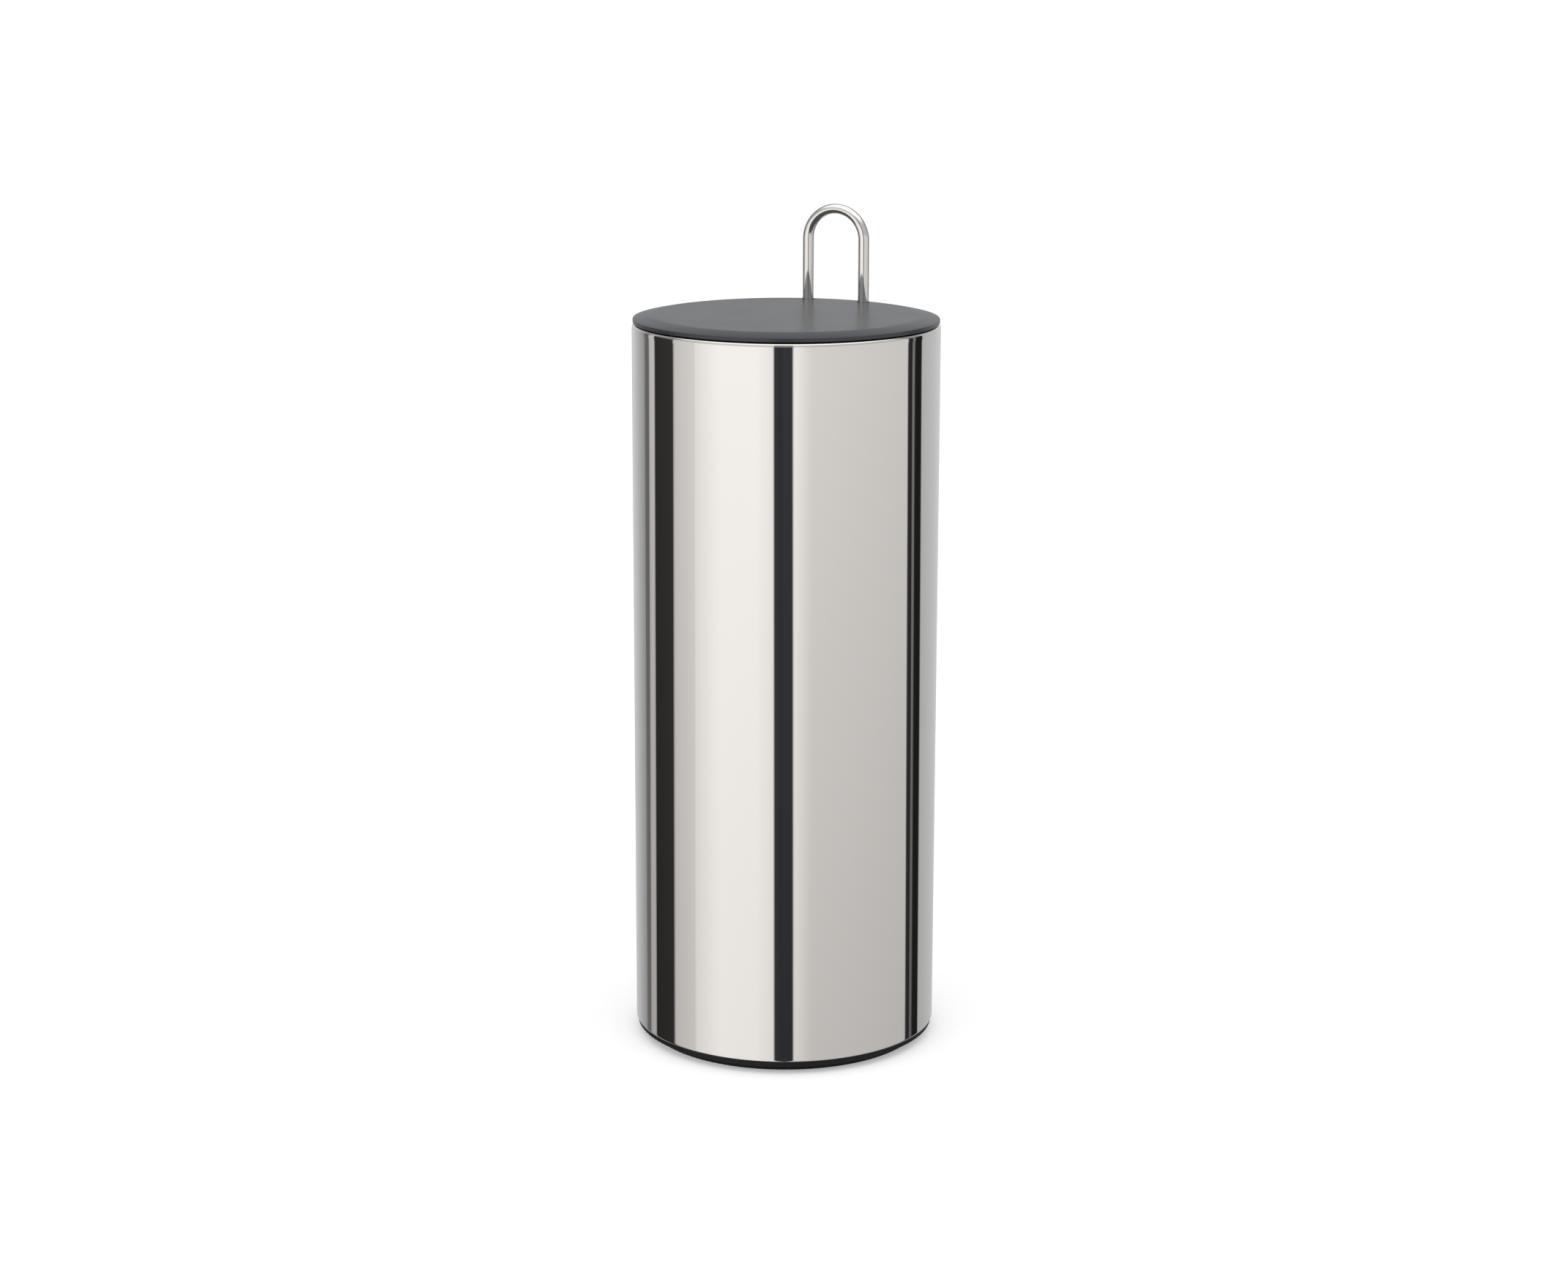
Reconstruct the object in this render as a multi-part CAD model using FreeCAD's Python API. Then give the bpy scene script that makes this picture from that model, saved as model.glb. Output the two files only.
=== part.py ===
import FreeCAD
import Part
import math
import os

# Toilet roll storage canister. A polished steel tube stands on a plastic base with a soft foot
# ring. Inside it a bent-wire carrier holds a stack of rolls on a round platform. The wire runs
# up past the rolls, passes through the lid near its edge and ends in the loop handle, so one
# pull lifts the lid and the rolls out together.
# Millimetres, +Z up. The origin lies on the floor, on the axis of the tube. The handle is at +Y.

# Steel tube
tube_diameter = 143.0
tube_height = 335.3             # bottom edge to the top of the rolled rim
tube_wall = 0.6
rim_inside_radius = 0.9         # bend of the rolled-in rim
rim_hem = 2.0                   # straight lip below the inside of the rim
bottom_inside_radius = 0.3      # bend where the bottom edge turns in
bottom_flange_width = 4.5       # tube's outside to the edge of the turned-in flange

# Base moulding
base_edge_setback = 0.8         # tube's outside to the base plate's edge
base_plate_thickness = 2.5
base_edge_radius = 0.6
spigot_height = 5.0             # wall that stands up inside the tube's flange
spigot_wall = 2.2
hook_count = 6
hook_angle = 12.0               # degrees of the circle that one snap hook takes up
hook_reach = 1.5                # how far a hook grips over the steel flange
hook_play = 0.1                 # between a hook and the flange that it grips
hook_slot_angle = 1.6           # degrees of the slot on each side of a hook
base_rib_count = 8
base_rib_thickness = 1.6
base_rib_lift = 1.5             # floor to the ribs below the plate
base_hub_radius = 10.0

# Foot ring
foot_height = 3.5               # what shows below the base plate
foot_seat_depth = 1.2           # what sits in the groove of the base plate
foot_setback = 5.9              # tube's outside to the foot ring's outside
foot_width = 8.0
foot_edge_radius = 0.8
foot_groove_count = 2           # grip grooves round the underside
foot_groove_width = 1.0
foot_groove_depth = 0.7

# Wire carrier
wire_diameter = 5.3
handle_width = 28.7             # between the centres of the two legs
handle_rise = 46.3              # lid's top to the top of the handle
clip_groove_depth = 0.5

# Platform
platform_setback = 0.7          # rim's opening to the platform's edge
platform_thickness = 2.2
platform_lift = 0.9             # base's spigot to the underside of the plate
platform_lip_width = 1.6
platform_lip_height = 0.4       # straight part below the lip's round crest
platform_skirt_wall = 2.0
platform_rib_count = 8
platform_rib_thickness = 1.6
platform_rib_lift = 1.9         # base plate to the ribs below the platform
platform_hub_radius = 12.0
socket_wall = 2.4
socket_edge_wall = 2.7          # between a socket and the skirt's outside
socket_land = 1.05              # above the countersink, below the leg

# Lid cover
lid_edge_setback = 0.5          # tube's outside to the cover's edge
lid_gap = 0.4                   # shadow gap between the rim and the cover
lid_side_height = 1.8           # upright edge below the shoulder
lid_shoulder_width = 9.0
lid_shoulder_drop = 1.6
lid_shoulder_bulge = 0.12       # how far the shoulder swells above a straight slope
lid_edge_radius = 0.4
lid_lip_depth = 1.4             # edge that hangs below the cover's ceiling
lid_screw_count = 4
lid_screw_inset = 16.0          # insert's wall to the circle of the screws
screw_boss_radius = 3.4
leg_boss_wall = 3.0
leg_boss_drop = 4.2             # cover's ceiling to the end of the bosses round the legs

# Lid insert
insert_clearance = 0.9          # rim's opening to the insert's wall
insert_wall = 2.0
insert_floor = 2.0
insert_edge_radius = 1.0
leg_boss_height = 3.0           # insert's floor to the clip
screw_well_wall = 1.5
screw_well_seat = 1.6           # what a screw's head clamps

# Fasteners
clip_thickness = 0.7
clip_width = 1.3                # width of the clip's outer band
clip_tab_length = 1.3           # three tabs that reach into the groove
clip_tab_width = 1.6
clip_mouth_width = 3.0
leg_screw_diameter = 3.0
leg_screw_length = 10.0
leg_screw_head_diameter = 5.6
lid_screw_diameter = 2.6
lid_screw_head_diameter = 5.4
lid_screw_head_height = 1.6
lid_screw_sink = 0.8            # how far a head lies inside the insert's underside
lid_screw_tip_gap = 0.6         # cover's ceiling to a screw's tip
recess_length = 1.7             # one arm of the cross in a screw's head
recess_width = 0.7
recess_depth = 0.9

# Clearances
seat_clearance = 0.3            # between a piece and what it drops into
hole_clearance = 0.4            # round a leg in the cover's holes
fit_clearance = 0.1             # round a leg in the insert and in its socket
thread_clearance = 0.05         # screw in its hole, clip in its groove

# Radii, from the tube inwards
rim_radius = rim_inside_radius + tube_wall
bottom_radius = bottom_inside_radius + tube_wall
tube_radius = tube_diameter / 2
tube_inside = tube_radius - tube_wall
rim_opening = tube_radius - 2 * rim_radius
flange_opening = tube_radius - bottom_flange_width
base_radius = tube_radius - base_edge_setback
spigot_radius = flange_opening - seat_clearance
spigot_inside = spigot_radius - spigot_wall
foot_radius = tube_radius - foot_setback
foot_inside = foot_radius - foot_width
platform_radius = rim_opening - platform_setback
skirt_radius = spigot_inside - 2 * seat_clearance
skirt_inside = skirt_radius - platform_skirt_wall
lid_radius = tube_radius - lid_edge_setback
insert_radius = rim_opening - insert_clearance
insert_inside = insert_radius - insert_wall
lid_screw_circle = insert_inside - lid_screw_inset

# Radii round one leg, and where the two legs stand
wire_radius = wire_diameter / 2
groove_radius = wire_radius - clip_groove_depth
socket_radius = wire_radius + fit_clearance
leg_hole_radius = wire_radius + hole_clearance
leg_boss_radius = leg_hole_radius + leg_boss_wall
leg_circle = skirt_radius - socket_edge_wall - socket_radius
leg_x = handle_width / 2
leg_y = math.sqrt(leg_circle ** 2 - leg_x ** 2)

# Radii of the screws and their holes
leg_screw_radius = leg_screw_diameter / 2
leg_head_radius = leg_screw_head_diameter / 2
leg_screw_hole = leg_screw_radius + thread_clearance
leg_sink_radius = leg_head_radius + fit_clearance
lid_screw_radius = lid_screw_diameter / 2
lid_head_radius = lid_screw_head_diameter / 2
well_radius = lid_head_radius + fit_clearance

# Heights, from the floor up
tube_bottom = foot_height + base_plate_thickness
flange_top = tube_bottom + tube_wall
rim_top = tube_bottom + tube_height
spigot_top = tube_bottom + spigot_height
platform_bottom = tube_bottom
platform_underside = spigot_top + platform_lift
platform_top = platform_underside + platform_thickness
sink_top = platform_bottom + leg_sink_radius - leg_screw_hole
leg_bottom = sink_top + socket_land
lid_bottom = rim_top + lid_gap
lid_shoulder = lid_bottom + lid_side_height
lid_top = lid_shoulder + lid_shoulder_drop
lid_ceiling = lid_bottom + lid_lip_depth
leg_boss_end = lid_ceiling - leg_boss_drop
clip_top = leg_boss_end - fit_clearance
clip_bottom = clip_top - clip_thickness
insert_floor_top = clip_bottom - leg_boss_height
insert_bottom = insert_floor_top - insert_floor
well_top = insert_bottom + lid_screw_sink + lid_screw_head_height
well_boss_top = well_top + screw_well_seat
lid_screw_tip = lid_ceiling - lid_screw_tip_gap
handle_top = lid_top + handle_rise

ORIGIN = FreeCAD.Vector(0, 0, 0)
UP = FreeCAD.Vector(0, 0, 1)
SAME = 1e-4


def at(point):
    """A profile's (radius, height) as a point of the XZ plane."""
    return FreeCAD.Vector(point[0], 0, point[1])


def on_circle(centre, radius, degrees):
    """The (radius, height) point of a profile's arc at an angle."""
    turn = math.radians(degrees)
    return (centre[0] + radius * math.cos(turn), centre[1] + radius * math.sin(turn))


def corner(centre, radius, first, last):
    """A step of a profile round a corner: an arc about a centre, from one angle to another."""
    return (on_circle(centre, radius, (first + last) / 2), on_circle(centre, radius, last))


def outline(start, *steps):
    """A closed face of the XZ plane. A step is an end point, or an arc's middle and end points."""
    edges = []
    here = start
    for step in steps + (start,):
        if isinstance(step[0], tuple):
            middle, end = step
            edges.append(Part.Arc(at(here), at(middle), at(end)).toShape())
        else:
            end = step
            edges.append(Part.LineSegment(at(here), at(end)).toShape())
        here = end
    return Part.Face(Part.Wire(edges))


def turned(start, *steps, angle=360.0):
    """A profile revolved about Z, centred on +X where it is only part of a turn."""
    solid = outline(start, *steps).revolve(ORIGIN, UP, angle)
    solid.rotate(ORIGIN, UP, -angle / 2)
    return solid


def disc(radius, bottom, top):
    """A cylinder on Z between two heights."""
    return Part.makeCylinder(radius, top - bottom, FreeCAD.Vector(0, 0, bottom), UP)


def ring(outside, inside, bottom, top):
    """A tube on Z between two heights."""
    return disc(outside, bottom, top).cut(disc(inside, bottom, top))


def spoke(inner, outer, thickness, bottom, top):
    """An upright radial wall along +X."""
    low = FreeCAD.Vector(inner, -thickness / 2, bottom)
    return Part.makeBox(outer - inner, thickness, top - bottom, low)


def around(solid, count, first=0.0):
    """Copies of a solid, evenly spaced about Z."""
    copies = []
    for step in range(count):
        copy = solid.copy()
        copy.rotate(ORIGIN, UP, first + step * 360.0 / count)
        copies.append(copy)
    return copies


def at_legs(solid):
    """Copies of a solid that lies on Z, one on each leg."""
    copies = []
    for x in (-leg_x, leg_x):
        copy = solid.copy()
        copy.translate(FreeCAD.Vector(x, leg_y, 0))
        copies.append(copy)
    return copies


def at_lid_screws(solid):
    """Copies of a solid that lies on Z, one at each lid screw."""
    placed = solid.copy()
    placed.translate(FreeCAD.Vector(lid_screw_circle, 0, 0))
    return around(placed, lid_screw_count, 180.0 / lid_screw_count)


def within(solids, radius, bottom, top):
    """Solids trimmed to a cylinder on Z."""
    return [solid.common(disc(radius, bottom, top)) for solid in solids]


def rounded(solid, radius, height, edge_radius):
    """A turned solid with a fillet on its circular edge of this radius and height."""
    edges = []
    for edge in solid.Edges:
        curve = edge.Curve
        if isinstance(curve, Part.Circle):
            if abs(curve.Radius - radius) < SAME and abs(curve.Center.z - height) < SAME:
                edges.append(edge)
    return solid.makeFillet(edge_radius, edges)


def canister_tube():
    """Rolled and welded sheet: a rolled-in rim at the top, a turned-in flange at the bottom."""
    rim_centre = (tube_radius - rim_radius, rim_top - rim_radius)
    bottom_centre = (tube_radius - bottom_radius, tube_bottom + bottom_radius)
    hem_bottom = rim_centre[1] - rim_hem
    return turned(
        (flange_opening, tube_bottom),
        (bottom_centre[0], tube_bottom),
        corner(bottom_centre, bottom_radius, -90, 0),
        (tube_radius, rim_centre[1]),
        corner(rim_centre, rim_radius, 0, 180),
        (rim_opening, hem_bottom),
        (rim_opening + tube_wall, hem_bottom),
        (rim_opening + tube_wall, rim_centre[1]),
        corner(rim_centre, rim_inside_radius, 180, 0),
        (tube_inside, bottom_centre[1]),
        corner(bottom_centre, bottom_inside_radius, 0, -90),
        (flange_opening, flange_top),
    )


def base_moulding():
    """Plate under the tube, with a spigot and snap hooks that grip the tube's bottom flange."""
    edge_centre = (base_radius - base_edge_radius, foot_height + base_edge_radius)
    groove_top = foot_height + foot_seat_depth
    groove_outside = foot_radius + seat_clearance
    groove_inside = foot_inside - seat_clearance
    plate = turned(
        (0, foot_height),
        (groove_inside, foot_height),
        (groove_inside, groove_top),
        (groove_outside, groove_top),
        (groove_outside, foot_height),
        (edge_centre[0], foot_height),
        corner(edge_centre, base_edge_radius, -90, 0),
        (base_radius, tube_bottom),
        (spigot_radius, tube_bottom),
        (spigot_radius, spigot_top),
        (spigot_inside, spigot_top),
        (spigot_inside, tube_bottom),
        (0, tube_bottom),
    )
    hook_bottom = flange_top + hook_play
    hook_nose = (flange_opening + hook_reach, (hook_bottom + spigot_top) / 2)
    hook = turned(
        (spigot_inside, hook_bottom),
        (hook_nose[0], hook_bottom),
        hook_nose,
        (spigot_radius, spigot_top),
        (spigot_inside, spigot_top),
        angle=hook_angle,
    )
    slot = turned(
        (skirt_radius, tube_bottom),
        (flange_opening, tube_bottom),
        (flange_opening, spigot_top),
        (skirt_radius, spigot_top),
        angle=hook_slot_angle,
    )
    slot_turn = (hook_angle + hook_slot_angle) / 2
    slots = around(slot, hook_count, slot_turn) + around(slot, hook_count, -slot_turn)
    rim_outside = groove_inside - base_rib_thickness
    rim_inside = rim_outside - base_rib_thickness
    hub_inside = base_hub_radius - base_rib_thickness
    rib_start = (base_hub_radius + hub_inside) / 2
    rib_end = (rim_outside + rim_inside) / 2
    rib = spoke(rib_start, rib_end, base_rib_thickness, base_rib_lift, foot_height)
    hub = ring(base_hub_radius, hub_inside, base_rib_lift, foot_height)
    rim = ring(rim_outside, rim_inside, base_rib_lift, foot_height)
    ribs = around(rib, base_rib_count) + [hub, rim]
    return plate.cut(slots).fuse(around(hook, hook_count) + ribs).removeSplitter()


def foot_ring():
    """Soft ring in the base plate's groove, with grip grooves round its underside."""
    top = foot_height + foot_seat_depth
    outer_edge = (foot_radius - foot_edge_radius, foot_edge_radius)
    inner_edge = (foot_inside + foot_edge_radius, foot_edge_radius)
    body = turned(
        (foot_inside, top),
        (foot_inside, foot_edge_radius),
        corner(inner_edge, foot_edge_radius, 180, 270),
        (outer_edge[0], 0),
        corner(outer_edge, foot_edge_radius, -90, 0),
        (foot_radius, top),
    )
    pitch = foot_width / (foot_groove_count + 1)
    for step in range(foot_groove_count):
        inside = foot_inside + (step + 1) * pitch - foot_groove_width / 2
        body = body.cut(ring(inside + foot_groove_width, inside, 0, foot_groove_depth))
    return body


def carrier_wire():
    """One bent wire: the loop handle and its two legs, grooved for the clips and tapped below."""
    arch_z = handle_top - wire_radius - leg_x
    left_foot = FreeCAD.Vector(-leg_x, leg_y, leg_bottom)
    left_bend = FreeCAD.Vector(-leg_x, leg_y, arch_z)
    crown = FreeCAD.Vector(0, leg_y, arch_z + leg_x)
    right_bend = FreeCAD.Vector(leg_x, leg_y, arch_z)
    right_foot = FreeCAD.Vector(leg_x, leg_y, leg_bottom)
    path = Part.Wire([
        Part.LineSegment(left_foot, left_bend).toShape(),
        Part.Arc(left_bend, crown, right_bend).toShape(),
        Part.LineSegment(right_bend, right_foot).toShape(),
    ])
    section = Part.Wire([Part.Circle(left_foot, UP, wire_radius).toShape()])
    wire = path.makePipeShell([section], True, False)
    groove_bottom = clip_bottom - thread_clearance
    groove = ring(wire_diameter, groove_radius, groove_bottom, clip_top + thread_clearance)
    tapped_hole = disc(leg_screw_hole, leg_bottom, leg_bottom + leg_screw_length)
    return wire.cut(at_legs(groove) + at_legs(tapped_hole))


def carrier_platform():
    """Round tray under the rolls: lipped plate, skirt and ribs below, a socket for each leg."""
    lip_radius = platform_lip_width / 2
    lip_centre = (platform_radius - lip_radius, platform_top + platform_lip_height)
    tray = turned(
        (0, platform_underside),
        (skirt_inside, platform_underside),
        (skirt_inside, platform_bottom),
        (skirt_radius, platform_bottom),
        (skirt_radius, platform_underside),
        (platform_radius, platform_underside),
        (platform_radius, lip_centre[1]),
        corner(lip_centre, lip_radius, 0, 180),
        (platform_radius - platform_lip_width, platform_top),
        (0, platform_top),
    )
    rib_bottom = platform_bottom + platform_rib_lift
    hub_inside = platform_hub_radius - platform_rib_thickness
    rib_start = (platform_hub_radius + hub_inside) / 2
    rib_end = (skirt_radius + skirt_inside) / 2
    rib = spoke(rib_start, rib_end, platform_rib_thickness, rib_bottom, platform_underside)
    ribs = around(rib, platform_rib_count, 180.0 / platform_rib_count)
    hub = ring(platform_hub_radius, hub_inside, rib_bottom, platform_underside)
    boss = disc(socket_radius + socket_wall, platform_bottom, platform_underside)
    bosses = within(at_legs(boss), skirt_radius, platform_bottom, platform_underside)
    socket = disc(socket_radius, leg_bottom, platform_top)
    shank_hole = disc(leg_screw_hole, platform_bottom, leg_bottom)
    sink = turned(
        (0, platform_bottom),
        (leg_sink_radius, platform_bottom),
        (leg_screw_hole, sink_top),
        (0, sink_top),
    )
    solid = tray.fuse(ribs + [hub] + bosses)
    return solid.cut(at_legs(socket) + at_legs(shank_hole) + at_legs(sink)).removeSplitter()


def cross_recess(bottom):
    """Four arms of the cross in a screw's head, cut from below at a height."""
    return around(spoke(0, recess_length, recess_width, bottom, bottom + recess_depth), 4)


def leg_screws():
    """Countersunk screws from below the platform into the tapped ends of the legs."""
    head_bottom = platform_bottom + fit_clearance
    screw = turned(
        (0, head_bottom),
        (leg_head_radius, head_bottom),
        (leg_screw_radius, head_bottom + leg_head_radius - leg_screw_radius),
        (leg_screw_radius, head_bottom + leg_screw_length),
        (0, head_bottom + leg_screw_length),
    )
    return Part.Compound(at_legs(screw.cut(cross_recess(head_bottom))))


def leg_clips():
    """Spring clips that snap into the legs' grooves and lock the lid to the wire."""
    inside = groove_radius + thread_clearance
    band_inside = inside + clip_tab_length
    band_outside = band_inside + clip_width
    band = ring(band_outside, band_inside, clip_bottom, clip_top)
    tab = spoke(0, band_inside + clip_width / 2, clip_tab_width, clip_bottom, clip_top)
    mouth = spoke(0, band_outside, clip_mouth_width, clip_bottom, clip_top)
    tabs = around(tab, 4)[:3]
    clip = band.fuse(tabs).cut([disc(inside, clip_bottom, clip_top), around(mouth, 4)[3]])
    return Part.Compound(at_legs(clip.removeSplitter()))


def lid_cover():
    """Soft-touch cap: flat top, sloping shoulder, upright edge, bosses below for legs and screws."""
    flat_radius = lid_radius - lid_shoulder_width
    slope_length = math.hypot(lid_shoulder_width, lid_shoulder_drop)
    bulge_out = lid_shoulder_bulge * lid_shoulder_drop / slope_length
    bulge_up = lid_shoulder_bulge * lid_shoulder_width / slope_length
    slope_middle = (
        flat_radius + lid_shoulder_width / 2 + bulge_out,
        lid_top - lid_shoulder_drop / 2 + bulge_up,
    )
    lip_inside = insert_radius + seat_clearance
    cap = turned(
        (0, lid_ceiling),
        (lip_inside, lid_ceiling),
        (lip_inside, lid_bottom),
        (lid_radius, lid_bottom),
        (lid_radius, lid_shoulder),
        (slope_middle, (flat_radius, lid_top)),
        (0, lid_top),
    )
    cap = rounded(cap, lid_radius, lid_shoulder, lid_edge_radius)
    cap = rounded(cap, lid_radius, lid_bottom, lid_edge_radius)
    boss_reach = insert_inside - seat_clearance
    leg_boss = disc(leg_boss_radius, leg_boss_end, lid_ceiling)
    leg_bosses = within(at_legs(leg_boss), boss_reach, leg_boss_end, lid_ceiling)
    screw_boss = disc(screw_boss_radius, well_boss_top, lid_ceiling)
    leg_hole = disc(leg_hole_radius, leg_boss_end, lid_top)
    pilot = disc(lid_screw_radius + thread_clearance, well_boss_top, lid_screw_tip + thread_clearance)
    solid = cap.fuse(leg_bosses + at_lid_screws(screw_boss))
    return solid.cut(at_legs(leg_hole) + at_lid_screws(pilot)).removeSplitter()


def lid_insert():
    """Plug below the cover: a shallow cup that drops into the tube's rim and hides the fixings."""
    edge_centre = (insert_radius - insert_edge_radius, insert_bottom + insert_edge_radius)
    cup = turned(
        (0, insert_bottom),
        (edge_centre[0], insert_bottom),
        corner(edge_centre, insert_edge_radius, -90, 0),
        (insert_radius, lid_ceiling),
        (insert_inside, lid_ceiling),
        (insert_inside, insert_floor_top),
        (0, insert_floor_top),
    )
    leg_boss = disc(leg_boss_radius, insert_floor_top, clip_bottom)
    leg_bosses = within(at_legs(leg_boss), insert_radius, insert_floor_top, clip_bottom)
    well_boss = disc(well_radius + screw_well_wall, insert_bottom, well_boss_top)
    leg_hole = disc(wire_radius + fit_clearance, insert_bottom, clip_bottom)
    well = disc(well_radius, insert_bottom, well_top)
    shank_hole = disc(lid_screw_radius + fit_clearance, well_top, well_boss_top)
    solid = cup.fuse(leg_bosses + at_lid_screws(well_boss))
    holes = at_legs(leg_hole) + at_lid_screws(well) + at_lid_screws(shank_hole)
    return solid.cut(holes).removeSplitter()


def lid_screws():
    """Pan-head screws through the insert's wells into the cover's bosses."""
    head_bottom = insert_bottom + lid_screw_sink
    round_radius = lid_screw_head_height / 2
    round_centre = (lid_head_radius - round_radius, head_bottom + round_radius)
    screw = turned(
        (0, head_bottom),
        (round_centre[0], head_bottom),
        corner(round_centre, round_radius, -90, 0),
        (lid_head_radius, well_top),
        (lid_screw_radius, well_top),
        (lid_screw_radius, lid_screw_tip),
        (0, lid_screw_tip),
    )
    return Part.Compound(at_lid_screws(screw.cut(cross_recess(head_bottom))))


PIECES = (
    canister_tube,
    base_moulding,
    foot_ring,
    carrier_wire,
    carrier_platform,
    leg_screws,
    leg_clips,
    lid_cover,
    lid_insert,
    lid_screws,
)

os.makedirs("parts", exist_ok=True)
for piece in PIECES:
    shape = piece()
    shape.exportStep(os.path.join("parts", piece.__name__ + ".step"))
    print(piece.__name__, len(shape.Solids), "solids", round(shape.Volume), "mm3", shape.isValid())
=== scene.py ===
import math

import bmesh
import bpy
from mathutils import Matrix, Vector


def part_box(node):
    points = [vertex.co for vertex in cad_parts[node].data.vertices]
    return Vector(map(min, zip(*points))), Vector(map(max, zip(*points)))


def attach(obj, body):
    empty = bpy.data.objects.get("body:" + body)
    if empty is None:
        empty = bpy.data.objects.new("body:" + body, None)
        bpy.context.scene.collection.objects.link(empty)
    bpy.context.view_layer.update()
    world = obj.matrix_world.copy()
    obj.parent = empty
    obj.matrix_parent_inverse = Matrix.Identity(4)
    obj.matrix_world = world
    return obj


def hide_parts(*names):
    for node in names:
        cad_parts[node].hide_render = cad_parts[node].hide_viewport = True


# Toilet roll storage canister: the finish of its steel, plastic and rubber pieces, and the studio.
# Metres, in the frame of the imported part: +Z up, the floor at z = 0, the handle at +Y.

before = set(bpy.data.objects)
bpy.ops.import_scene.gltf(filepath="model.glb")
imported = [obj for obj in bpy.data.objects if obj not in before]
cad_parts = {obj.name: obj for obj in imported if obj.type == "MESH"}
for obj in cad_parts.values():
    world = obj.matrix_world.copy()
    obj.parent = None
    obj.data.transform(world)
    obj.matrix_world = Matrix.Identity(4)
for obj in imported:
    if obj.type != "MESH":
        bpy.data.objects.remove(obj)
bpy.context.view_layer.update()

MM = 0.001

# Camera, fitted to the photograph, which is 2141 by 1736 pixels
PHOTO_WIDTH = 2141
FOCAL_PIXELS = 4387.3
SENSOR_WIDTH = 36.0
CAMERA_AZIMUTH = math.radians(24.5)
CAMERA_DISTANCE = 1.4783
CAMERA_HEIGHT = 0.5354
CAMERA_PITCH = math.radians(13.048)
CAMERA_YAW = math.radians(-0.026)
CAMERA_ROLL = math.radians(0.158)

# Steel tube, as on the CAD node, and the slight lead-in that rolling leaves below its rim
TUBE_WALL = 0.6 * MM
RIM_RADIUS = 1.5 * MM
RIM_HEM = 2.0 * MM
RIM_STEPS = 20
LEAD_RADIUS = 12.0 * MM
LEAD_ANGLE = 9.5
LEAD_STEPS = 6
BOTTOM_RADIUS = 0.9 * MM
BOTTOM_FLANGE = 4.5 * MM
BOTTOM_STEPS = 10
TUBE_SEGMENTS = 360

# Steel's finish: the weld, and how much rougher the weld and the inside are than the polish
WELD_WIDTH = 0.6 * MM
WELD_DULLING = 0.16
INSIDE_DULLING = 0.24

# Lid cover, as on the CAD node, and the rounded edges of its leg holes
LID_GAP = 0.4 * MM
LID_SIDE = 1.8 * MM
LID_SHOULDER_WIDTH = 9.0 * MM
LID_SHOULDER_DROP = 1.6 * MM
LID_SHOULDER_BULGE = 0.12 * MM
LID_SHOULDER_STEPS = 8
LID_CREASE_SPREAD = 1.2 * MM
LID_EDGE_RADIUS = 0.4 * MM
LID_EDGE_STEPS = 6
LID_LIP_DEPTH = 1.4 * MM
LID_LIP_WIDTH = 3.1 * MM
LID_SEGMENTS = 512
LEG_HOLE_CLEARANCE = 0.4 * MM
LEG_HOLE_ROUND = 0.3 * MM
LEG_HOLE_STEPS = 8
LEG_HOLE_SEGMENTS = 64

# Wire: clip groove, chamfered and tapped ends, and how much the bend flattens it at the crown
GROOVE_DEPTH = 0.5 * MM
GROOVE_PLAY = 0.05 * MM
BEND_FLATTENING = 0.10
WIRE_CHAMFER = 0.3 * MM
TAPPED_RADIUS = 1.55 * MM
TAPPED_DEPTH = 10.0 * MM
WIRE_SIDES = 48
ARCH_STEPS = 72
SEAM_SHARE = 0.9

# Drawn lines of the wire's finish: how many round it, and how many to a metre of its length
LINES_ROUND = 120.0
LINES_PER_METRE = 25.0

# Meshes: the angle of a sharp edge, how near to a corner an extra point lies, and what counts as long
SHARP = math.radians(32)
SUPPORT = 0.4 * MM
LONG_SIDE = 3 * SUPPORT

# Tints of the studio's light
PLAIN = (1.0, 1.0, 1.0)
COOL = (0.95, 0.97, 1.12)
DAYLIGHT = (1.0, 1.03, 1.055)

# Panels round the object, as the steel mirrors them. Each has its start and end, in degrees to the right
# of the camera, its brightness at the two ends, the share of it that is lost from the upper to the lower
# elevation, and a tint
PANELS = (
    (-180.0, -158.0, 0.65, 0.61, 0.10, DAYLIGHT),  # backdrop
    (-146.0, -131.3, 0.49, 0.32, 0.05, DAYLIGHT),  # backdrop, shaded towards its left end
    (-129.3, -123.1, 0.15, 0.13, 0.00, PLAIN),  # narrow flag
    (-122.2, -115.4, 0.52, 0.57, 0.25, PLAIN),  # strip of light between the flags
    (-114.9, -92.0, 0.026, 0.034, 0.20, PLAIN),  # black flag
    (-91.2, -71.3, 0.615, 0.73, 0.14, PLAIN),  # grey side wall
    (-70.3, -50.0, 0.84, 1.02, 0.10, PLAIN),  # key softbox, outer side
    (-22.0, -9.4, 1.02, 0.91, 0.12, PLAIN),  # key softbox, inner side
    (-8.7, -3.6, 0.045, 0.031, 0.10, COOL),  # dark gap round the camera, left part
    (-1.4, 4.3, 0.042, 0.039, 0.26, COOL),  # dark gap round the camera, right part
    (5.0, 7.0, 0.88, 0.93, 0.20, PLAIN),  # bright edge of the fill wall
    (19.0, 101.6, 0.735, 0.65, 0.20, PLAIN),  # fill wall
    (102.4, 107.2, 0.034, 0.016, 0.00, PLAIN),  # first dark post
    (108.2, 109.9, 0.20, 0.20, 0.35, PLAIN),  # slit between the posts
    (111.2, 120.2, 0.012, 0.013, 0.00, PLAIN),  # second dark post
    (121.0, 180.0, 0.475, 0.69, 0.10, DAYLIGHT),  # backdrop
)
UPPER_ELEVATION = -8.3
LOWER_ELEVATION = -19.8

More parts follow.
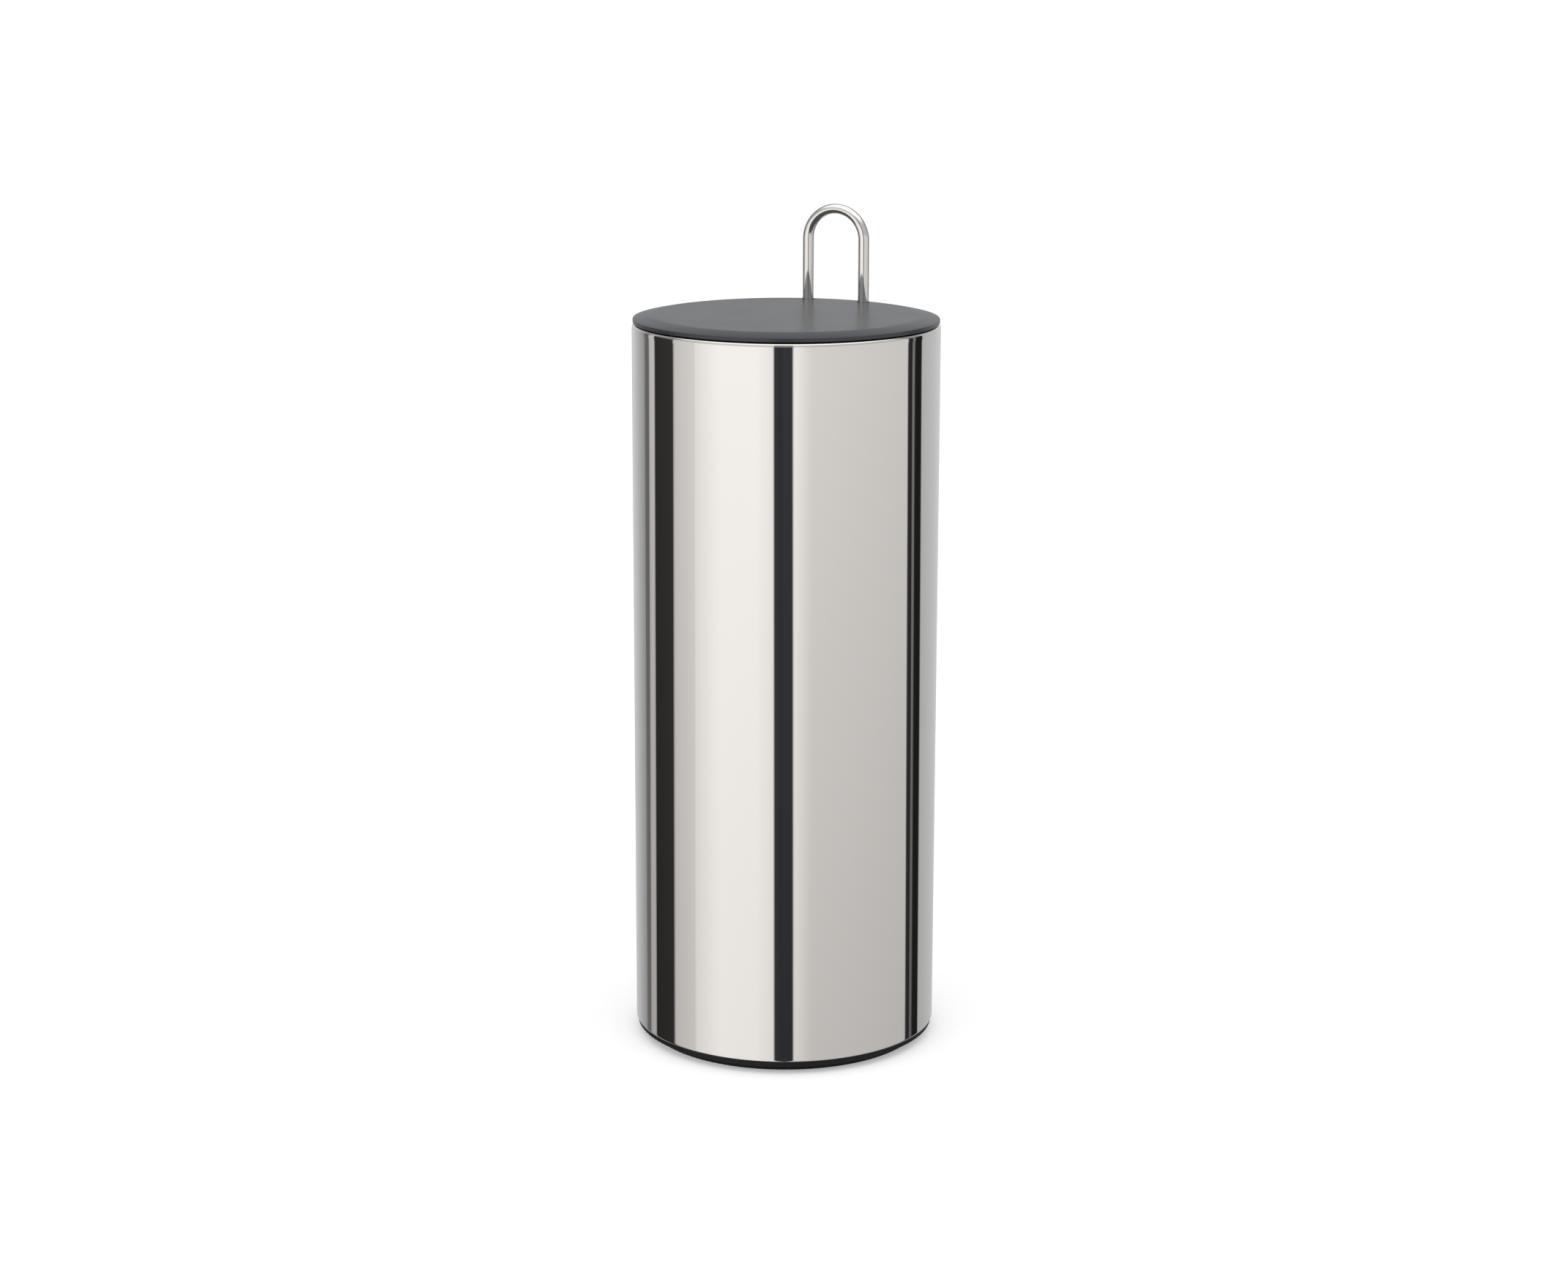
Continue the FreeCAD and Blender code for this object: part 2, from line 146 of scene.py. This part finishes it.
# How the panels lean from the upper to the lower elevation: their shift in degrees and the share that
# they spread by. The lean and the loss end at the deepest share of that way
LEAN_SHIFT = 1.6
LEAN_SPREAD = 0.04
DEEPEST = 1.15

# What lies above the panels: in front a dim band, mixed with the panel below it, behind a cool band that
# the backdrop fades slowly into, and then the overhead softbox, which starts higher behind
BACKDROP_ENDS = (110.0, 135.0)
PANEL_TOP_FRONT = (4.0, 9.0)
PANEL_TOP_BEHIND = (11.0, 34.0)
BAND_FRONT = 0.38
BAND_SHARE = 0.55
BAND_BEHIND = 0.38
OVERHEAD_FRONT = (32.0, 50.0)
OVERHEAD_BEHIND = (44.0, 60.0)
OVERHEAD = 1.20

# Floor: a disc for the soft shadow, which glows for the camera
FLOOR_RADIUS = 20.0
FLOOR_COLOUR = 0.90
FLOOR_GLOW = 0.36
FLOOR_SEGMENTS = 64


def add(tree, kind, inputs=(), **settings):
    """A node of a tree. An input is a value, or another node's output to join to it."""
    node = tree.nodes.new("ShaderNode" + kind)
    for name, value in settings.items():
        setattr(node, name, value)
    for name, value in dict(inputs).items():
        if isinstance(value, bpy.types.NodeSocket):
            tree.links.new(value, node.inputs[name])
        else:
            node.inputs[name].default_value = value
    return node


def math_node(tree, operation, first, second=0.0):
    """The result of a sum on one or two numbers."""
    return add(tree, "Math", {0: first, 1: second}, operation=operation).outputs[0]


def spread(tree, value, low, high):
    """A 0 to 1 value spread between two others."""
    return add(tree, "MapRange", {"Value": value, "To Min": low, "To Max": high}).outputs["Result"]


def grain(tree, scale, detail=2.0, stretch=(1.0, 1.0, 1.0)):
    """Noise in the piece's own metres, drawn out along an axis where its stretch is small."""
    place = add(tree, "TexCoord").outputs["Object"]
    place = add(tree, "Mapping", {"Vector": place, "Scale": stretch}).outputs["Vector"]
    noise = add(tree, "TexNoise", {"Vector": place, "Scale": scale, "Detail": detail})
    return noise.outputs["Fac"]


def bump(tree, height, distance, below=None):
    """A normal from a height of this many metres, on top of another normal."""
    inputs = {"Height": height, "Distance": distance, "Strength": 1.0}
    if below is not None:
        inputs["Normal"] = below
    return add(tree, "Bump", inputs).outputs["Normal"]


def new_material(name, **values):
    """A material with a principled shader whose plain values are set on its own sockets."""
    material = bpy.data.materials.new(name)
    material.use_nodes = True
    tree = material.node_tree
    tree.nodes.clear()
    shader = add(tree, "BsdfPrincipled")
    for socket, value in values.items():
        shader.inputs[socket.replace("_", " ")].default_value = value
    add(tree, "OutputMaterial", {"Surface": shader.outputs["BSDF"]})
    return material, tree, shader


def shade(tree, shader, dark, pale, mix, roughness, normal):
    """Joins a colour that varies between two, a roughness and a normal to a shader."""
    colour = add(tree, "Mix", {"Factor": mix, "A": dark, "B": pale}, data_type="RGBA")
    tree.links.new(colour.outputs["Result"], shader.inputs["Base Color"])
    tree.links.new(roughness, shader.inputs["Roughness"])
    tree.links.new(normal, shader.inputs["Normal"])


def polished_steel():
    """Mirror-polished sheet: the roll's long waves, polishing haze, a ground weld, a dull inside."""
    material, tree, shader = new_material("polished_steel", Metallic=1.0)
    waves = grain(tree, scale=42.0, detail=1.0, stretch=(1.0, 1.0, 0.12))
    haze = grain(tree, scale=260.0, detail=4.0, stretch=(1.0, 1.0, 0.25))
    tone = grain(tree, scale=14.0, detail=2.0, stretch=(1.0, 1.0, 0.3))
    place = add(tree, "TexCoord").outputs["Object"]
    axes = add(tree, "SeparateXYZ", {"Vector": place}).outputs
    weld = weld_seam(tree, axes)
    normal = bump(tree, waves, distance=0.003 * MM)
    normal = bump(tree, weld, distance=0.02 * MM, below=normal)
    polish = spread(tree, haze, low=0.012, high=0.04)
    ground = math_node(tree, "MULTIPLY", weld, WELD_DULLING)
    milled = math_node(tree, "MULTIPLY", inside_wall(tree, axes), INSIDE_DULLING)
    roughness = math_node(tree, "ADD", polish, math_node(tree, "ADD", ground, milled))
    dark = (0.865, 0.832, 0.795, 1)
    pale = (0.895, 0.862, 0.828, 1)
    shade(tree, shader, dark, pale, tone, roughness, normal)
    return material


def inside_wall(tree, axes):
    """1 on the tube's inside below the rim, which keeps the sheet's mill finish, and 0 elsewhere."""
    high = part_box("canister_tube")[1]
    across = math_node(tree, "POWER", axes["X"], 2.0)
    along = math_node(tree, "POWER", axes["Y"], 2.0)
    away = math_node(tree, "SQRT", math_node(tree, "ADD", across, along))
    within = math_node(tree, "LESS_THAN", away, high.x - TUBE_WALL / 2)
    below = math_node(tree, "LESS_THAN", axes["Z"], high.z - RIM_RADIUS - RIM_HEM)
    return math_node(tree, "MULTIPLY", within, below)


def weld_seam(tree, axes):
    """1 on the narrow strip at the tube's back, +Y, where the sheet is welded, and 0 elsewhere."""
    away = math_node(tree, "ABSOLUTE", axes["X"])
    sizes = {"Value": away, "From Min": WELD_WIDTH, "From Max": WELD_WIDTH / 2}
    strip = add(tree, "MapRange", sizes).outputs["Result"]
    behind = math_node(tree, "GREATER_THAN", axes["Y"], 0.0)
    return math_node(tree, "MULTIPLY", strip, behind)


def wire_steel():
    """Polished drawn wire: fine lines along its length."""
    material, tree, shader = new_material("wire_steel", Metallic=1.0)
    place = add(tree, "UVMap", uv_map="length").outputs["UV"]
    scale = (LINES_ROUND, LINES_PER_METRE, 1.0)
    lines = add(tree, "Mapping", {"Vector": place, "Scale": scale}).outputs["Vector"]
    drawn = add(tree, "TexNoise", {"Vector": lines, "Scale": 1.0, "Detail": 3.0}).outputs["Fac"]
    tone = grain(tree, scale=60.0)
    normal = bump(tree, drawn, distance=0.002 * MM)
    roughness = spread(tree, drawn, low=0.03, high=0.09)
    dark = (0.80, 0.77, 0.74, 1)
    pale = (0.88, 0.85, 0.82, 1)
    shade(tree, shader, dark, pale, tone, roughness, normal)
    return material


def soft_touch_grey():
    """Dark grey soft-touch coat: a fine even grain, a little cloudy where it is handled."""
    material, tree, shader = new_material("soft_touch_grey", IOR=1.5)
    cloud = grain(tree, scale=30.0, detail=4.0)
    fine = grain(tree, scale=4200.0, detail=3.0)
    normal = bump(tree, fine, distance=0.006 * MM)
    roughness = spread(tree, cloud, low=0.28, high=0.34)
    dark = (0.038, 0.0395, 0.0435, 1)
    pale = (0.044, 0.0455, 0.0495, 1)
    shade(tree, shader, dark, pale, cloud, roughness, normal)
    return material


def black_plastic():
    """Black moulding with a fine spark-eroded texture."""
    material, tree, shader = new_material("black_plastic", IOR=1.49, Specular_IOR_Level=0.25)
    texture = grain(tree, scale=2600.0, detail=4.0)
    flow = grain(tree, scale=45.0, detail=3.0)
    normal = bump(tree, texture, distance=0.03 * MM)
    roughness = spread(tree, flow, low=0.45, high=0.60)
    dark = (0.008, 0.008, 0.009, 1)
    pale = (0.012, 0.012, 0.013, 1)
    shade(tree, shader, dark, pale, flow, roughness, normal)
    return material


def foot_rubber():
    """Soft black rubber, matte and slightly dusty."""
    material, tree, shader = new_material("foot_rubber", IOR=1.5, Specular_IOR_Level=0.3)
    dust = grain(tree, scale=180.0, detail=5.0)
    fine = grain(tree, scale=3200.0, detail=2.0)
    normal = bump(tree, fine, distance=0.02 * MM)
    roughness = spread(tree, dust, low=0.68, high=0.85)
    dark = (0.010, 0.010, 0.010, 1)
    pale = (0.018, 0.018, 0.018, 1)
    shade(tree, shader, dark, pale, dust, roughness, normal)
    return material


def screw_steel():
    """Zinc plate: satin, with a faint mottle."""
    material, tree, shader = new_material("screw_steel", Metallic=1.0)
    mottle = grain(tree, scale=900.0, detail=4.0)
    normal = bump(tree, mottle, distance=0.004 * MM)
    roughness = spread(tree, mottle, low=0.22, high=0.38)
    dark = (0.55, 0.555, 0.56, 1)
    pale = (0.68, 0.68, 0.67, 1)
    shade(tree, shader, dark, pale, mottle, roughness, normal)
    return material


def arc(centre, radius, first, last, steps):
    """Points of a profile's arc about a centre, from one angle to another in degrees."""
    points = []
    for step in range(steps + 1):
        turn = math.radians(first + (last - first) * step / steps)
        points.append((centre[0] + radius * math.cos(turn), centre[1] + radius * math.sin(turn)))
    return points


def supported(points):
    """A closed profile with extra points near the ends of its long sides, so that they shade flat."""
    result = []
    for here, after in zip(points, points[1:] + points[:1]):
        result.append(here)
        length = math.dist(here, after)
        if length > LONG_SIDE:
            for share in (SUPPORT / length, 1 - SUPPORT / length):
                result.append(tuple(a + (b - a) * share for a, b in zip(here, after)))
    return result


def new_piece(name, mesh_data, body=None, material=None):
    """A piece from a bmesh. A piece of the object rides on a body."""
    bmesh.ops.recalc_face_normals(mesh_data, faces=mesh_data.faces)
    mesh = bpy.data.meshes.new(name)
    mesh_data.to_mesh(mesh)
    mesh_data.free()
    mesh.shade_smooth()
    mesh.set_sharp_from_angle(angle=SHARP)
    piece = bpy.data.objects.new(name, mesh)
    bpy.context.scene.collection.objects.link(piece)
    if material:
        mesh.materials.append(material)
    if body:
        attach(piece, body)
    return piece


def rings_to_faces(mesh_data, rings, closed):
    """Quads between rings of vertices, and triangles where a ring is a single vertex."""
    followers = rings[1:] + rings[:1] if closed else rings[1:]
    for low, high in zip(rings, followers):
        count = max(len(low), len(high))
        for side in range(count):
            after = (side + 1) % count
            corners = [low[side % len(low)], low[after % len(low)]]
            corners += [high[after % len(high)], high[side % len(high)]]
            unique = list(dict.fromkeys(corners))
            if len(unique) > 2:
                mesh_data.faces.new(unique)


def turned(profile, segments, centre=(0.0, 0.0), closed=True):
    """A profile of (radius, height) points turned about an upright axis."""
    mesh_data = bmesh.new()
    rings = []
    for radius, height in profile:
        count = segments if radius > 0 else 1
        ring = []
        for side in range(count):
            turn = 2 * math.pi * side / count
            x = centre[0] + radius * math.cos(turn)
            y = centre[1] + radius * math.sin(turn)
            ring.append(mesh_data.verts.new((x, y, height)))
        rings.append(ring)
    rings_to_faces(mesh_data, rings, closed)
    return mesh_data


def make_tube(material):
    """The steel tube, fine enough for clean mirror reflections."""
    low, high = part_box("canister_tube")
    outside = high.x
    lead_turn = math.radians(LEAD_ANGLE)
    lead_reach = LEAD_RADIUS - RIM_RADIUS
    rim = (outside - LEAD_RADIUS + lead_reach * math.cos(lead_turn), high.z - RIM_RADIUS)
    lead = (outside - LEAD_RADIUS, rim[1] - lead_reach * math.sin(lead_turn))
    bottom = (outside - BOTTOM_RADIUS, low.z + BOTTOM_RADIUS)
    opening = rim[0] - RIM_RADIUS
    hem = rim[1] - RIM_HEM
    profile = [(outside - BOTTOM_FLANGE, low.z)]
    profile += arc(bottom, BOTTOM_RADIUS, -90, 0, BOTTOM_STEPS)
    profile += arc(lead, LEAD_RADIUS, 0, LEAD_ANGLE, LEAD_STEPS)
    profile += arc(rim, RIM_RADIUS, LEAD_ANGLE, 180, RIM_STEPS)[1:]
    profile += [(opening, hem), (opening + TUBE_WALL, hem)]
    profile += arc(rim, RIM_RADIUS - TUBE_WALL, 180, LEAD_ANGLE, RIM_STEPS)
    profile += arc(lead, LEAD_RADIUS - TUBE_WALL, LEAD_ANGLE, 0, LEAD_STEPS)[1:]
    profile += arc(bottom, BOTTOM_RADIUS - TUBE_WALL, 0, -90, BOTTOM_STEPS)
    profile += [(outside - BOTTOM_FLANGE, low.z + TUBE_WALL)]
    mesh_data = turned(supported(profile), TUBE_SEGMENTS)
    piece = new_piece("steel_tube", mesh_data, "canister", material)
    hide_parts("canister_tube")


def wire_places():
    """The wire's radius, and the place of its legs and arch, from the CAD node."""
    low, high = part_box("carrier_wire")
    radius = (high.y - low.y) / 2
    return radius, high.x - radius, low.y + radius, low.z, high.z


def make_wire(material):
    """The bent wire: two legs with a clip groove and a tapped end each, joined by the arch."""
    radius, leg_x, leg_y, bottom, top = wire_places()
    arch_z = top - radius - leg_x
    clip_bottom, clip_top = (corner.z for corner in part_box("leg_clips"))
    groove_bottom = clip_bottom - GROOVE_PLAY
    groove_top = clip_top + GROOVE_PLAY
    leg = [
        (0.0, bottom + TAPPED_DEPTH),
        (TAPPED_RADIUS, bottom + TAPPED_DEPTH),
        (TAPPED_RADIUS, bottom),
        (radius - WIRE_CHAMFER, bottom),
        (radius, bottom + WIRE_CHAMFER),
        (radius, groove_bottom),
        (radius - GROOVE_DEPTH, groove_bottom),
        (radius - GROOVE_DEPTH, groove_top),
        (radius, groove_top),
    ]
    stations = [(r, -leg_x, z, 0.0) for r, z in leg]
    for step in range(ARCH_STEPS + 1):
        turn = math.pi * step / ARCH_STEPS
        stations.append((radius, -leg_x * math.cos(turn), arch_z + leg_x * math.sin(turn), turn))
    stations += [(r, leg_x, z, math.pi) for r, z in reversed(leg)]

    mesh_data = bmesh.new()
    rings = []
    lengths = [0.0]
    for number, (r, x, z, turn) in enumerate(stations):
        if number:
            before = stations[number - 1]
            lengths.append(lengths[-1] + math.dist((x, z), before[1:3]))
        count = WIRE_SIDES if r > 0 else 1
        ring = []
        for side in range(count):
            angle = 2 * math.pi * side / count
            across = -r * math.cos(angle) * (1 - BEND_FLATTENING * math.sin(turn))
            sideways, down = across * math.cos(turn), across * math.sin(turn)
            place = (x + sideways, leg_y + r * math.sin(angle), z - down)
            ring.append(mesh_data.verts.new(place))
        rings.append(ring)
    rings_to_faces(mesh_data, rings, closed=False)
    along = {vertex: length for ring, length in zip(rings, lengths) for vertex in ring}
    share = {vertex: side / WIRE_SIDES for ring in rings for side, vertex in enumerate(ring)}
    uv = mesh_data.loops.layers.uv.new("length")
    for face in mesh_data.faces:
        # A face across the seam ends at a share of 1 and not at 0
        wraps = max(share[v] for v in face.verts) > SEAM_SHARE
        for loop in face.loops:
            turn = share[loop.vert]
            loop[uv].uv = (1.0 if wraps and turn == 0 else turn, along[loop.vert])
    piece = new_piece("handle_wire", mesh_data, "carrier", material)
    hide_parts("carrier_wire")


def make_lid(material):
    """The cap: flat top, sloping shoulder, upright edge, and a rounded hole for each leg."""
    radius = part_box("lid_cover")[1].x
    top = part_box("lid_cover")[1].z
    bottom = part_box("canister_tube")[1].z + LID_GAP
    flat = radius - LID_SHOULDER_WIDTH
    edge = bottom + LID_SIDE
    half = math.hypot(LID_SHOULDER_WIDTH, LID_SHOULDER_DROP) / 2
    shoulder = (half ** 2 + LID_SHOULDER_BULGE ** 2) / (2 * LID_SHOULDER_BULGE)
    slope = math.degrees(math.atan2(LID_SHOULDER_DROP, LID_SHOULDER_WIDTH))
    swell = math.degrees(math.asin(half / shoulder))
    inner, outer = 90 - slope + swell, 90 - slope - swell
    inner_turn = math.radians(inner)
    centre = (flat - shoulder * math.cos(inner_turn), top - shoulder * math.sin(inner_turn))
    ceiling = bottom + LID_LIP_DEPTH
    lip = radius - LID_LIP_WIDTH
    low_edge = (radius - LID_EDGE_RADIUS, bottom + LID_EDGE_RADIUS)
    high_edge = (low_edge[0], edge - LID_EDGE_RADIUS * math.tan(math.radians(outer) / 2))
    profile = [(0.0, ceiling), (lip, ceiling), (lip, bottom)]
    profile += arc(low_edge, LID_EDGE_RADIUS, -90, 0, LID_EDGE_STEPS)
    profile += arc(high_edge, LID_EDGE_RADIUS, 0, outer, LID_EDGE_STEPS)
    profile += arc(centre, shoulder, outer, inner, LID_SHOULDER_STEPS)[1:]
    profile += [(flat - LID_CREASE_SPREAD, top), (0.0, top)]
    mesh_data = turned(profile, LID_SEGMENTS, closed=False)
    piece = new_piece("lid_cap", mesh_data, "carrier", material)
    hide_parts("lid_cover")
    drill_leg_holes(piece, ceiling, top)


def drill_leg_holes(piece, ceiling, top):
    """Cuts the two leg holes through the cap, each with a rounded upper edge."""
    radius, leg_x, leg_y = wire_places()[:3]
    hole = radius + LEG_HOLE_CLEARANCE
    edge = (hole + LEG_HOLE_ROUND, top - LEG_HOLE_ROUND)
    profile = [(0.0, ceiling - SUPPORT), (hole, ceiling - SUPPORT)]
    profile += arc(edge, LEG_HOLE_ROUND, 180, 90, LEG_HOLE_STEPS)
    profile += [(edge[0], top + SUPPORT), (0.0, top + SUPPORT)]
    for x in (-leg_x, leg_x):
        drill = new_piece("drill", turned(profile, LEG_HOLE_SEGMENTS, (x, leg_y), closed=False))
        cut = piece.modifiers.new("leg_hole", "BOOLEAN")
        cut.operation = "DIFFERENCE"
        cut.solver = "EXACT"
        cut.object = drill
        graph = bpy.context.evaluated_depsgraph_get()
        solid = bpy.data.meshes.new_from_object(piece.evaluated_get(graph))
        piece.modifiers.remove(cut)
        piece.data = solid
        bpy.data.objects.remove(drill)
    piece.data.set_sharp_from_angle(angle=SHARP)
    level_top = piece.modifiers.new("level_top", "WEIGHTED_NORMAL")
    level_top.keep_sharp = True


def dress_node(name, material):
    """A CAD node that stays as it is, with smooth faces and a finish."""
    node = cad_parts[name]
    node.data.shade_smooth()
    node.data.set_sharp_from_angle(angle=SHARP)
    node.data.materials.clear()
    node.data.materials.append(material)


def make_camera():
    """The photograph's camera, above the rim and turned so that the handle is at the back right."""
    data = bpy.data.cameras.new("camera")
    data.sensor_fit = "HORIZONTAL"
    data.sensor_width = SENSOR_WIDTH
    data.lens = SENSOR_WIDTH * FOCAL_PIXELS / PHOTO_WIDTH
    camera = bpy.data.objects.new("camera", data)
    bpy.context.scene.collection.objects.link(camera)
    x = CAMERA_DISTANCE * math.sin(CAMERA_AZIMUTH)
    y = -CAMERA_DISTANCE * math.cos(CAMERA_AZIMUTH)
    place = Matrix.Translation((x, y, CAMERA_HEIGHT))
    heading = Matrix.Rotation(CAMERA_AZIMUTH - CAMERA_YAW, 4, "Z")
    tilt = Matrix.Rotation(math.pi / 2 - CAMERA_PITCH, 4, "X")
    roll = Matrix.Rotation(CAMERA_ROLL, 4, "Z")
    camera.matrix_world = place @ heading @ tilt @ roll
    bpy.context.scene.camera = camera


def grey(level, tint=PLAIN):
    """A colour of this brightness."""
    return tuple(level * part for part in tint) + (1.0,)


def smooth_step(tree, value, edge):
    """0 before an edge and 1 after it."""
    inputs = {"Value": value, "From Min": edge[0], "From Max": edge[1]}
    return add(tree, "MapRange", inputs, interpolation_type="SMOOTHSTEP").outputs["Result"]


def step_between(tree, value, share, first, second):
    """A smooth step whose edge lies between two others."""
    edge = [spread(tree, share, start, end) for start, end in zip(first, second)]
    return smooth_step(tree, value, edge)


def mix_colour(tree, factor, first, second):
    """A colour between two others."""
    inputs = {"Factor": factor, "A": first, "B": second}
    return add(tree, "Mix", inputs, data_type="RGBA").outputs["Result"]


def panel_ramp(tree, share):
    """The panels' colours round the object, with what each loses further down as alpha."""
    ramp = add(tree, "ValToRGB", {"Fac": share})
    stops = ramp.color_ramp.elements
    stops.remove(stops[-1])
    marks = []
    for start, end, near, far, loss, tint in PANELS:
        marks.append((start, near, loss, tint))
        marks.append((end, far, loss, tint))
    for number, (angle, level, loss, tint) in enumerate(marks):
        position = angle / 360 + 0.5
        stop = stops.new(position) if number else stops[0]
        stop.position = position
        stop.color = grey(level, tint)[:3] + (loss,)
    return ramp.outputs


def make_world():
    """Panels all round, an overhead softbox, and a white background for the camera."""
    world = bpy.data.worlds.new("studio")
    bpy.context.scene.world = world
    world.use_nodes = True
    tree = world.node_tree
    tree.nodes.clear()
    direction = add(tree, "TexCoord").outputs["Generated"]
    turn_back = {"Vector": direction, "Angle": -CAMERA_AZIMUTH}
    turned_back = add(tree, "VectorRotate", turn_back, rotation_type="Z_AXIS").outputs["Vector"]
    axes = add(tree, "SeparateXYZ", {"Vector": turned_back}).outputs
    towards_camera = math_node(tree, "MULTIPLY", axes["Y"], -1.0)
    azimuth = math_node(tree, "DEGREES", math_node(tree, "ARCTAN2", axes["X"], towards_camera))
    elevation = math_node(tree, "DEGREES", math_node(tree, "ARCSINE", axes["Z"]))

    deepest = UPPER_ELEVATION + DEEPEST * (LOWER_ELEVATION - UPPER_ELEVATION)
    sizes = {"Value": elevation, "From Min": UPPER_ELEVATION, "From Max": deepest, "To Max": DEEPEST}
    depth = add(tree, "MapRange", sizes).outputs["Result"]
    shifted = math_node(tree, "SUBTRACT", azimuth, math_node(tree, "MULTIPLY", depth, LEAN_SHIFT))
    wider = math_node(tree, "ADD", math_node(tree, "MULTIPLY", depth, LEAN_SPREAD), 1.0)
    upright = math_node(tree, "DIVIDE", shifted, wider)
    share = math_node(tree, "ADD", math_node(tree, "DIVIDE", upright, 360.0), 0.5)
    panels = panel_ramp(tree, share)
    kept = math_node(tree, "SUBTRACT", 1.0, math_node(tree, "MULTIPLY", panels["Alpha"], depth))
    walls = mix_colour(tree, kept, grey(0.0), panels["Color"])

    behind = smooth_step(tree, math_node(tree, "ABSOLUTE", azimuth), BACKDROP_ENDS)
    above = step_between(tree, elevation, behind, PANEL_TOP_FRONT, PANEL_TOP_BEHIND)
    dimmed = mix_colour(tree, BAND_SHARE, walls, grey(BAND_FRONT))
    band = mix_colour(tree, behind, dimmed, grey(BAND_BEHIND, COOL))
    room = mix_colour(tree, above, walls, band)
    overhead = step_between(tree, elevation, behind, OVERHEAD_FRONT, OVERHEAD_BEHIND)
    room = mix_colour(tree, overhead, room, grey(OVERHEAD))
    studio = add(tree, "Background", {"Color": room, "Strength": 1.0}).outputs[0]
    white = add(tree, "Background", {"Color": grey(1.0), "Strength": 1.0}).outputs[0]
    seen = add(tree, "LightPath").outputs["Is Camera Ray"]
    both = add(tree, "MixShader", {0: seen, 1: studio, 2: white})
    add(tree, "OutputWorld", {"Surface": both.outputs[0]})


def make_floor():
    """A pale floor that takes the object's soft shadow. It glows for the camera, up to white."""
    material = bpy.data.materials.new("floor")
    material.use_nodes = True
    tree = material.node_tree
    tree.nodes.clear()
    paper = add(tree, "BsdfDiffuse", {"Color": grey(FLOOR_COLOUR)})
    seen = add(tree, "LightPath").outputs["Is Camera Ray"]
    level = math_node(tree, "MULTIPLY", seen, FLOOR_GLOW)
    glow = add(tree, "Emission", {"Color": grey(1.0), "Strength": level})
    both = add(tree, "AddShader", {0: paper.outputs[0], 1: glow.outputs[0]})
    add(tree, "OutputMaterial", {"Surface": both.outputs[0]})
    disc = turned([(FLOOR_RADIUS, 0.0), (0.0, 0.0)], FLOOR_SEGMENTS, closed=False)
    floor = new_piece("floor", disc, material=material)
    floor.visible_glossy = False


steel = polished_steel()
plastic = black_plastic()
screws = screw_steel()
make_tube(steel)
make_wire(wire_steel())
make_lid(soft_touch_grey())
dress_node("base_moulding", plastic)
dress_node("foot_ring", foot_rubber())
dress_node("carrier_platform", plastic)
dress_node("lid_insert", plastic)
dress_node("leg_screws", screws)
dress_node("leg_clips", screws)
dress_node("lid_screws", screws)
make_camera()
make_world()
make_floor()
bpy.context.scene.view_settings.view_transform = "Standard"
